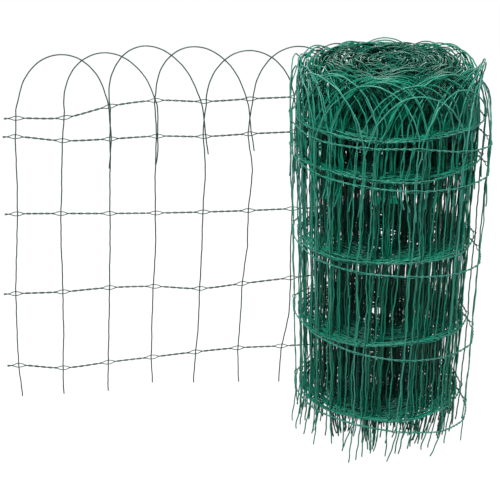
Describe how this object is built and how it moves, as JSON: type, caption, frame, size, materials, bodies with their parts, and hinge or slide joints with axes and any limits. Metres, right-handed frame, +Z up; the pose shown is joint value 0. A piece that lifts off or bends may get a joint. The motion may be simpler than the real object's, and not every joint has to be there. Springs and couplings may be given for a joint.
{
  "type": "roll of wire fencing",
  "caption": "Standing roll of green plastic-coated, hoop-topped border fence with an open stretch unrolled to one side.",
  "frame": {"origin": "on the roll's axis, at the level of its foot", "axes": "+Z up along the roll's axis, -X along the open stretch to its free end, +Y to the side where it leaves the roll"},
  "size_m": [0.8817, 0.3673, 0.6978],
  "materials": {
    "coated_wire": "glossy dark green plastic coat on steel wire"
  },
  "bodies": {
    "root": {"rolled_fence": "coated_wire", "hoop_wire_1": "coated_wire", "hoop_wire_2": "coated_wire", "hoop_wire_3": "coated_wire", "hoop_wire_4": "coated_wire", "hoop_wire_5": "coated_wire", "hoop_wire_6": "coated_wire", "hoop_wire_7": "coated_wire", "hoop_wire_8": "coated_wire", "line_wire_1_front_strand": "coated_wire", "line_wire_1_back_strand": "coated_wire", "line_wire_2_front_strand": "coated_wire", "line_wire_2_back_strand": "coated_wire", "line_wire_3_front_strand": "coated_wire", "line_wire_3_back_strand": "coated_wire", "line_wire_4_front_strand": "coated_wire", "line_wire_4_back_strand": "coated_wire", "line_wire_5_front_strand": "coated_wire", "line_wire_5_back_strand": "coated_wire"}
  },
  "joints": []
}
